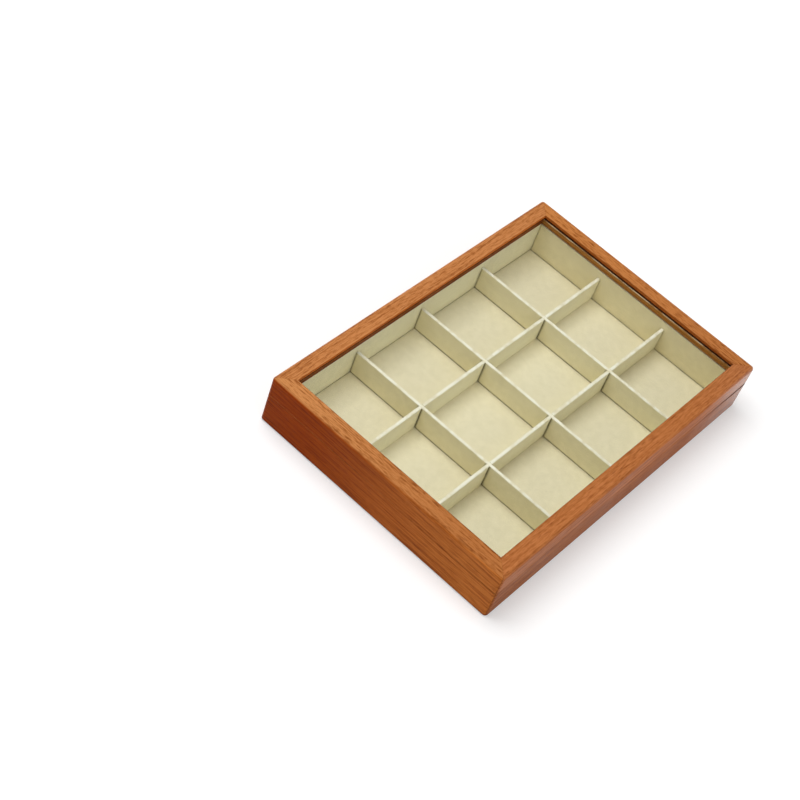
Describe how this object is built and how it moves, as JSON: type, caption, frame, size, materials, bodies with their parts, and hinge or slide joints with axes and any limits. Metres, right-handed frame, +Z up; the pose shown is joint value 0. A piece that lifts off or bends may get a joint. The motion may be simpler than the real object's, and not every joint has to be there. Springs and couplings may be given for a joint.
{
  "type": "necklace display tray",
  "caption": "Low wooden display tray with a hinged glazed lid, lined and parted into equal fabric-covered compartments for necklaces and bracelets.",
  "frame": {"origin": "middle of the underside, on the surface the tray stands on", "axes": "+X along the long side, +Y towards the hinges at the back, +Z up"},
  "size_m": [0.35, 0.2442, 0.05],
  "materials": {
    "cherry_wood": "satin lacquer over straight-grained cherry-coloured wood",
    "bead_wood": "satin lacquer, darker",
    "panel_board": "plain thin board",
    "cream_microfibre": "short soft nap",
    "black_felt": "matt felt",
    "pane_glass": "clear, polished",
    "dark_gasket": "matt foam strip",
    "hinge_brass": "satin brass",
    "screw_brass": "satin brass"
  },
  "bodies": {
    "base": {"base_front_rail": "cherry_wood", "base_back_rail": "cherry_wood", "base_left_rail": "cherry_wood", "base_right_rail": "cherry_wood", "base_panel": "panel_board", "base_felt": "black_felt", "floor_lining": "cream_microfibre", "liner_front": "cream_microfibre", "liner_back": "cream_microfibre", "liner_left": "cream_microfibre", "liner_right": "cream_microfibre", "long_divider_1": "cream_microfibre", "long_divider_2": "cream_microfibre", "short_divider_1": "cream_microfibre", "short_divider_2": "cream_microfibre", "short_divider_3": "cream_microfibre", "hinge_left_base_leaf": "hinge_brass", "hinge_left_pin": "hinge_brass", "hinge_right_base_leaf": "hinge_brass", "hinge_right_pin": "hinge_brass", "base_hinge_screws": "screw_brass"},
    "lid": {"lid_front_rail": "cherry_wood", "lid_back_rail": "cherry_wood", "lid_left_rail": "cherry_wood", "lid_right_rail": "cherry_wood", "gasket_front": "dark_gasket", "gasket_back": "dark_gasket", "gasket_left": "dark_gasket", "gasket_right": "dark_gasket", "glass_pane": "pane_glass", "glazing_bead_front": "bead_wood", "glazing_bead_back": "bead_wood", "glazing_bead_left": "bead_wood", "glazing_bead_right": "bead_wood", "hinge_left_lid_leaf": "hinge_brass", "hinge_right_lid_leaf": "hinge_brass", "lid_hinge_screws": "screw_brass"}
  },
  "joints": [
    {"name": "lid_hinge", "type": "hinge", "parent": "base", "child": "lid", "pos_m": [0, 0.1222, 0.03], "axis": [-1, 0, 0], "range_deg": [0, 100]}
  ]
}
